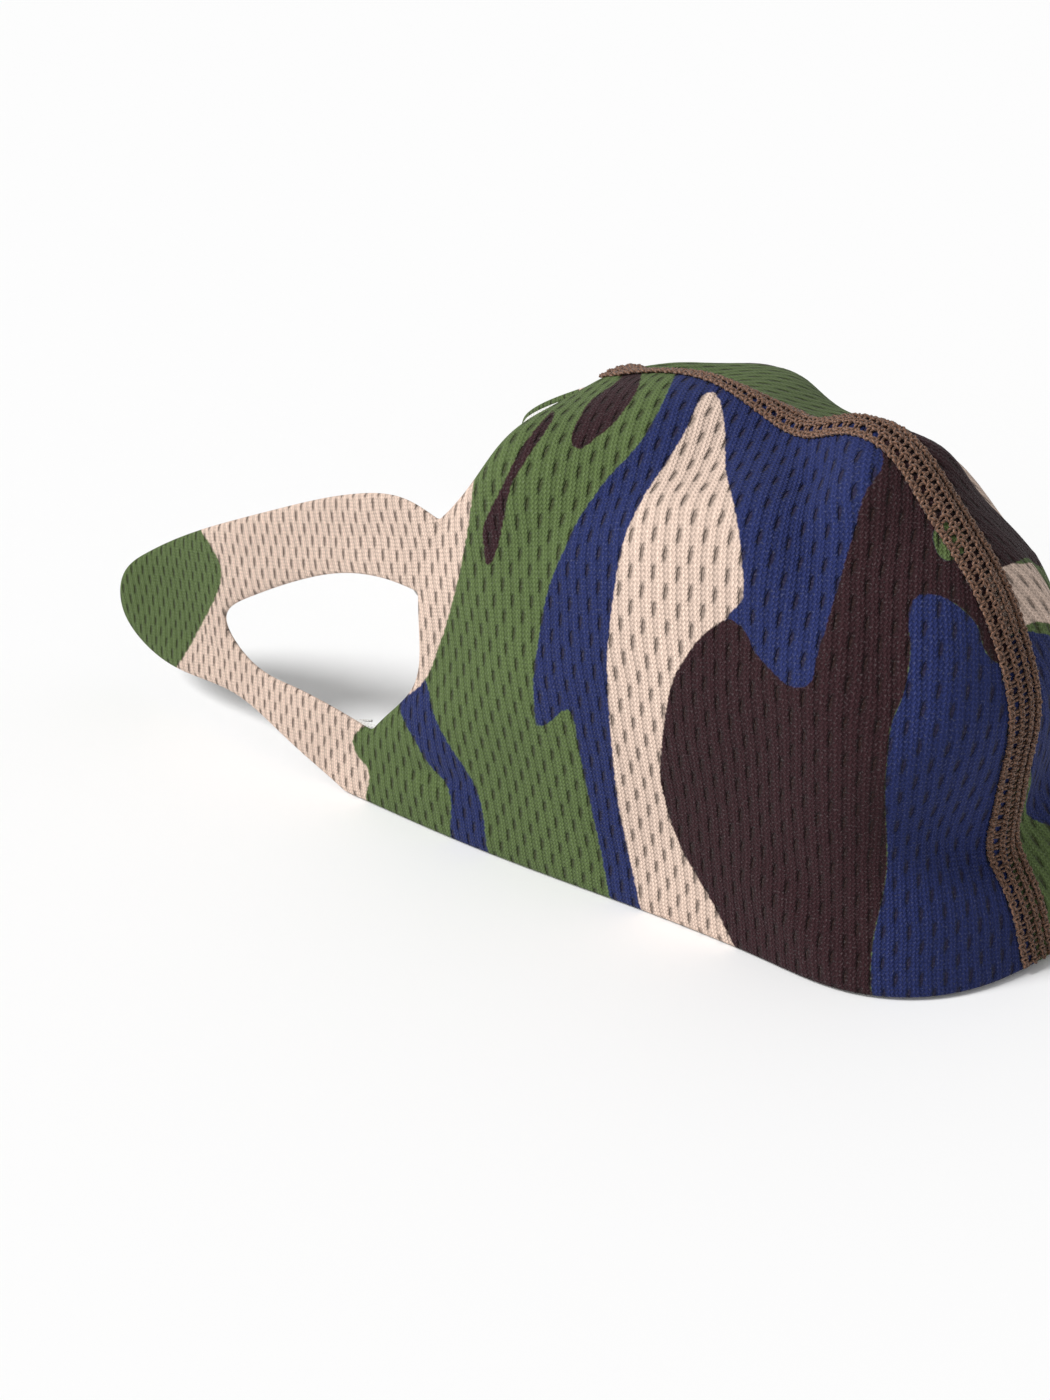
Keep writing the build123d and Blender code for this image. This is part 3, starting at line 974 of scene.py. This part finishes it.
def birdseye(n):
    """Place, slit share, hollow share, loops and height of the birdseye knit."""
    place, u, v = n.flat_place()
    u = n.math("ADD", n.math("ADD", u, n.wander(place, 0.09, 1.1)), n.math("MULTIPLY", v, 0.04))
    v = n.math("ADD", v, n.wander(place, 0.13, 1.1))
    row = n.math("DIVIDE", v, HOLE_ROW)
    odd = n.math("MULTIPLY", n.math("FLOORED_MODULO", n.math("FLOOR", row), 2.0), 0.5)
    across = n.math("FRACT", n.math("ADD", n.math("DIVIDE", u, HOLE_ACROSS), odd))
    x = n.math("MULTIPLY", n.math("SUBTRACT", across, 0.5), HOLE_ACROSS)
    y = n.math("MULTIPLY", n.math("SUBTRACT", n.math("FRACT", row), 0.5), HOLE_ROW)
    lean = n.math("SUBTRACT", x, n.math("MULTIPLY", y, SLIT_LEAN))
    ragged = n.wander(place, 1.7, 0.55, 3.0)
    aside = n.math("ADD", lean, n.math("MULTIPLY", ragged, 0.6))
    wide = n.math("POWER", n.math("DIVIDE", aside, SLIT_WIDTH), 2.0)
    tall = n.math("POWER", n.math("DIVIDE", n.math("ADD", y, ragged), SLIT_HEIGHT), 2.0)
    away = n.math("ADD", wide, tall)
    hole = n.step(away, 0.2, 1.5, 1.0, 0.0)
    halo = n.step(away, 0.8, 6.0, 1.0, 0.0)
    rib = n.math("SINE", n.math("MULTIPLY", u, 2 * math.pi / RIB))
    vee = n.math("ABSOLUTE", n.math("SUBTRACT", n.math("FRACT", n.math("DIVIDE", u, RIB)), 0.5))
    slanted = n.math("ADD", v, n.math("MULTIPLY", vee, 0.7))
    stitch = n.math("SINE", n.math("MULTIPLY", slanted, 2 * math.pi / COURSE))
    column = n.math("COSINE", n.math("MULTIPLY", u, 4 * math.pi / HOLE_ACROSS))
    loops = n.math("ADD", n.math("MULTIPLY", rib, 0.35), n.math("MULTIPLY", stitch, 0.4))
    loops = n.math("SUBTRACT", loops, n.math("MULTIPLY", column, 0.45))
    height = n.math("MULTIPLY", loops, LOOP_HEIGHT)
    height = n.math("SUBTRACT", height, n.math("MULTIPLY", hole, SLIT_DEPTH))
    height = n.math("SUBTRACT", height, n.math("MULTIPLY", halo, HALO_DEPTH))
    return place, hole, halo, loops, height


INK_EDGE = 0.14  # softness of the edge between two colours, in mm


def printed_knit():
    """Green knit with navy, beige and brown printed over it in that order, with painted shade in its holes, in
    the hollows round them and between its stitches.
    """
    n = Nodes("printed_birdseye_knit")
    place, hole, halo, loops, height = birdseye(n)
    bleed = n.wander(place, 1.3, 0.55, 3.0)
    shade = GREEN
    for name, ink in zip(PRINT_COLOURS, (NAVY, BEIGE, BROWN)):
        inside = n.step(n.math("ADD", n.field(name), bleed), -INK_EDGE, INK_EDGE, 1.0, 0.0)
        shade = n.mix(inside, shade, ink)
    cloud = n.math("MULTIPLY_ADD", n.noise(place, 0.06, 3.0), 0.22, 0.89)
    fibre = n.math("MULTIPLY_ADD", n.noise(place, 2.6, 4.0), 0.8, 0.6)
    # painted stitch shade: the colour follows the loops' height, times the fibres' own random tone
    fibre_and_stitch_shade = n.math("MULTIPLY", n.math("MULTIPLY_ADD", loops, 0.3, 1.0), fibre)
    # painted shade in the soft hollow round each slit
    hollow_shade = n.math("SUBTRACT", 1.0, n.math("MULTIPLY", halo, 0.16))
    level = n.math("MULTIPLY", n.math("MULTIPLY", cloud, fibre_and_stitch_shade), hollow_shade)
    # painted shade in the knit's holes
    shade = n.mix(n.math("MULTIPLY", hole, 0.6), shade, n.mix(0.28, HOLE_SHADE, shade))
    fleck = n.math("MULTIPLY", n.step(n.noise(place, 3.4, 2.0), 0.52, 0.74), 0.045)
    flecked = n.vector_math("ADD", n.vector_math("SCALE", shade, "Scale", level), 1, fleck)
    n.put(n.shader.inputs["Base Color"], flecked)
    n.put(n.shader.inputs["Roughness"], n.math("MULTIPLY_ADD", loops, -0.05, 0.8))
    n.shader.inputs["Specular IOR Level"].default_value = 0.14
    n.shader.inputs["Sheen Weight"].default_value = 0.04
    n.shader.inputs["Sheen Roughness"].default_value = 0.4
    n.bump(height)
    return n.material


JERSEY_WALE, JERSEY_COURSE = 0.8, 0.7


def lining_knit():
    """White jersey of small v-shaped stitches, with painted shade between them."""
    n = Nodes("white_lining_jersey")
    place, u, v = n.flat_place()
    wale = n.math("DIVIDE", u, JERSEY_WALE)
    vee = n.math("ABSOLUTE", n.math("SUBTRACT", n.math("FRACT", wale), 0.5))
    slanted = n.math("ADD", v, n.math("MULTIPLY", vee, 0.9))
    course = n.math("SINE", n.math("MULTIPLY", slanted, 2 * math.pi / JERSEY_COURSE))
    rib = n.math("COSINE", n.math("MULTIPLY", wale, 2 * math.pi))
    loops = n.math("ADD", n.math("MULTIPLY", rib, 0.5), n.math("MULTIPLY", course, 0.5))
    fuzz = n.noise(place, 3.0, 4.0)
    # painted stitch shade: the white follows the loops' height, plus a fuzz of random tone
    level = n.math("ADD", n.math("MULTIPLY_ADD", loops, 0.05, 0.9), n.math("MULTIPLY", fuzz, 0.1))
    n.put(n.shader.inputs["Base Color"], n.vector_math("SCALE", WHITE_KNIT[:3], "Scale", level))
    n.put(n.shader.inputs["Roughness"], n.math("MULTIPLY_ADD", fuzz, 0.1, 0.8))
    n.shader.inputs["Specular IOR Level"].default_value = 0.25
    n.shader.inputs["Sheen Weight"].default_value = 0.2
    n.bump(n.math("MULTIPLY", loops, 0.07))
    return n.material


def thread(name, light, groove_shade):
    """Twisted polyester thread: plies wind round it, with painted shade in the grooves between them."""
    n = Nodes(name)
    place, along, around = n.flat_place()
    twist = n.math("ADD", n.math("MULTIPLY", along, 1.6), n.math("MULTIPLY", around, 3.0))
    ply = n.math("SINE", n.math("MULTIPLY", twist, 2 * math.pi))
    fibre = n.noise(place, 5.0, 4.0)
    # the thread's own colour, darkened towards the painted groove shade between its plies
    share = n.math("ADD", n.math("MULTIPLY_ADD", ply, 0.3, 0.35), n.math("MULTIPLY", fibre, 0.4), clamp=True)
    n.put(n.shader.inputs["Base Color"], n.mix(share, groove_shade, light))
    n.put(n.shader.inputs["Roughness"], n.math("MULTIPLY_ADD", ply, -0.08, 0.55))
    n.shader.inputs["Sheen Weight"].default_value = 0.15
    n.bump(n.math("MULTIPLY", ply, 0.05))
    return n.material


def finish_piece(obj, material, body, nodes):
    """Gives a piece its material, attaches it to a body if one is named, and hides the CAD nodes that it
    stands for.
    """
    obj.data.materials.clear()
    obj.data.materials.append(material)
    if body:
        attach(obj, body)
    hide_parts(*nodes)


# ---------------------------------------------------------------- the pieces
KNIT = printed_knit()
LINING = lining_knit()
SEAM_THREAD = thread("seam_thread_brown", THREAD, THREAD_GROOVE_SHADE)
HEM_MATERIAL = thread("hem_thread_white", WHITE_KNIT, HEM_SHADE)


def blend_to_loop(obj):
    """Bakes the piece's placement into its mesh."""
    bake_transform(obj)


for side in ("left", "right"):
    outer, extent, area = make_cloth(f"{side}_outer_cloth", side, 0.0, OUTER_MID, OUTER_HALF, HEM_RISE, True)
    finish_piece(outer, KNIT, None, [f"{side}_outer_panel", f"{side}_ear_loop"])
    blend_to_loop(outer)
    inner, extent, area = make_cloth(
        f"{side}_inner_cloth", side, LINING_INSET, LINING_MID, LINING_HALF, 0.0, False
    )
    finish_piece(inner, LINING, None, [f"{side}_lining", f"{side}_ear_loop_lining"])
    blend_to_loop(inner)
    hem = hem_stitches(f"{side}_hem_stitches", side)
    threads = [f"{side}_{edge}_thread" for edge in ("chin_hem", "nose_hem", "ear_hem", "ear_loop")]
    finish_piece(hem, HEM_MATERIAL, None, threads)
    blend_to_loop(hem)

CLOTH_TOP = OUTER_MID + OUTER_HALF
cover = join_tubes(
    "flatlock_cover_thread",
    cross_threads(CLOTH_TOP + 0.1, 0.24, 2.75, 0.0, 0.35)
    + cross_threads(CLOTH_TOP + 0.14, 0.22, 2.65, 1.0, -0.3),
)
finish_piece(cover, SEAM_THREAD, "mask", ["seam_cover_thread"])
needles = join_tubes(
    "flatlock_needle_threads",
    chain(-2.6, CLOTH_TOP + 0.34, 0.42, 0.27)
    + chain(2.6, CLOTH_TOP + 0.34, 0.42, 0.27, 0.5)
    + chain(-0.9, CLOTH_TOP + 0.42, 0.34, 0.23, 0.25)
    + chain(0.9, CLOTH_TOP + 0.42, 0.34, 0.23, 0.75),
)
finish_piece(needles, SEAM_THREAD, "mask", ["seam_needle_threads"])
LOOPER_HEIGHT = LINING_MID - LINING_HALF - 0.25
loopers = join_tubes(
    "flatlock_looper_threads",
    chain(-1.8, LOOPER_HEIGHT, 0.4, 0.22, 0.1, 3.0)
    + chain(1.8, LOOPER_HEIGHT, 0.4, 0.22, 0.6, 3.0)
    + cross_threads(LOOPER_HEIGHT + 0.1, 0.2, 2.0, 2.6, 0.3)
    + cross_threads(LOOPER_HEIGHT + 0.05, 0.2, 2.0, 3.6, -0.3),
)
finish_piece(loopers, SEAM_THREAD, "mask", ["seam_looper_threads"])


# ---------------------------------------------------------------- floor, light and camera
FLOOR_SIZE, FLOOR_DROP = 30, 0.0003  # the floor lies just below the cloth, so that the two never fight
FLOOR_GREY = 0.96
SUN_STRENGTH, SUN_ANGLE, SUN_WAY = 2.8, math.radians(20), (0.55, -0.33, -0.6)
SKY_STRENGTH = 0.42
LENS, SENSOR = 91.84, 36


def floor():
    bpy.ops.mesh.primitive_plane_add(size=FLOOR_SIZE, location=(0, 0, -FLOOR_DROP))
    plane = bpy.context.object
    plane.name = "floor"
    n = Nodes("pale_floor")
    n.shader.inputs["Base Color"].default_value = (FLOOR_GREY, FLOOR_GREY, FLOOR_GREY, 1)
    n.shader.inputs["Roughness"].default_value = 0.9
    n.shader.inputs["Specular IOR Level"].default_value = 0.1
    plane.data.materials.append(n.material)


def lights():
    """One broad soft key light from the upper left, and an even white sky."""
    sun = bpy.data.lights.new("key", "SUN")
    sun.energy, sun.angle = SUN_STRENGTH, SUN_ANGLE
    lamp = bpy.data.objects.new("key", sun)
    lamp.rotation_mode = "QUATERNION"
    lamp.rotation_quaternion = Vector(SUN_WAY).to_track_quat("-Z", "Y")
    bpy.context.scene.collection.objects.link(lamp)
    world = bpy.data.worlds.new("studio")
    bpy.context.scene.world = world
    world.use_nodes = True
    background = world.node_tree.nodes["Background"]
    background.inputs["Color"].default_value = (1, 1, 1, 1)
    background.inputs["Strength"].default_value = SKY_STRENGTH


def camera():
    """Camera at the photograph's viewing angle, at the point that the print's chart is seen from."""
    data = bpy.data.cameras.new("camera")
    data.sensor_width = SENSOR
    data.lens = LENS
    data.clip_start = 0.01
    cam = bpy.data.objects.new("camera", data)
    cam.location = VIEW_POINT * MM
    cam.rotation_mode = "QUATERNION"
    cam.rotation_quaternion = Vector(LOOK).to_track_quat("-Z", "Y")
    bpy.context.scene.collection.objects.link(cam)
    bpy.context.scene.camera = cam


floor()
lights()
camera()
bpy.context.scene.view_settings.view_transform = "Standard"
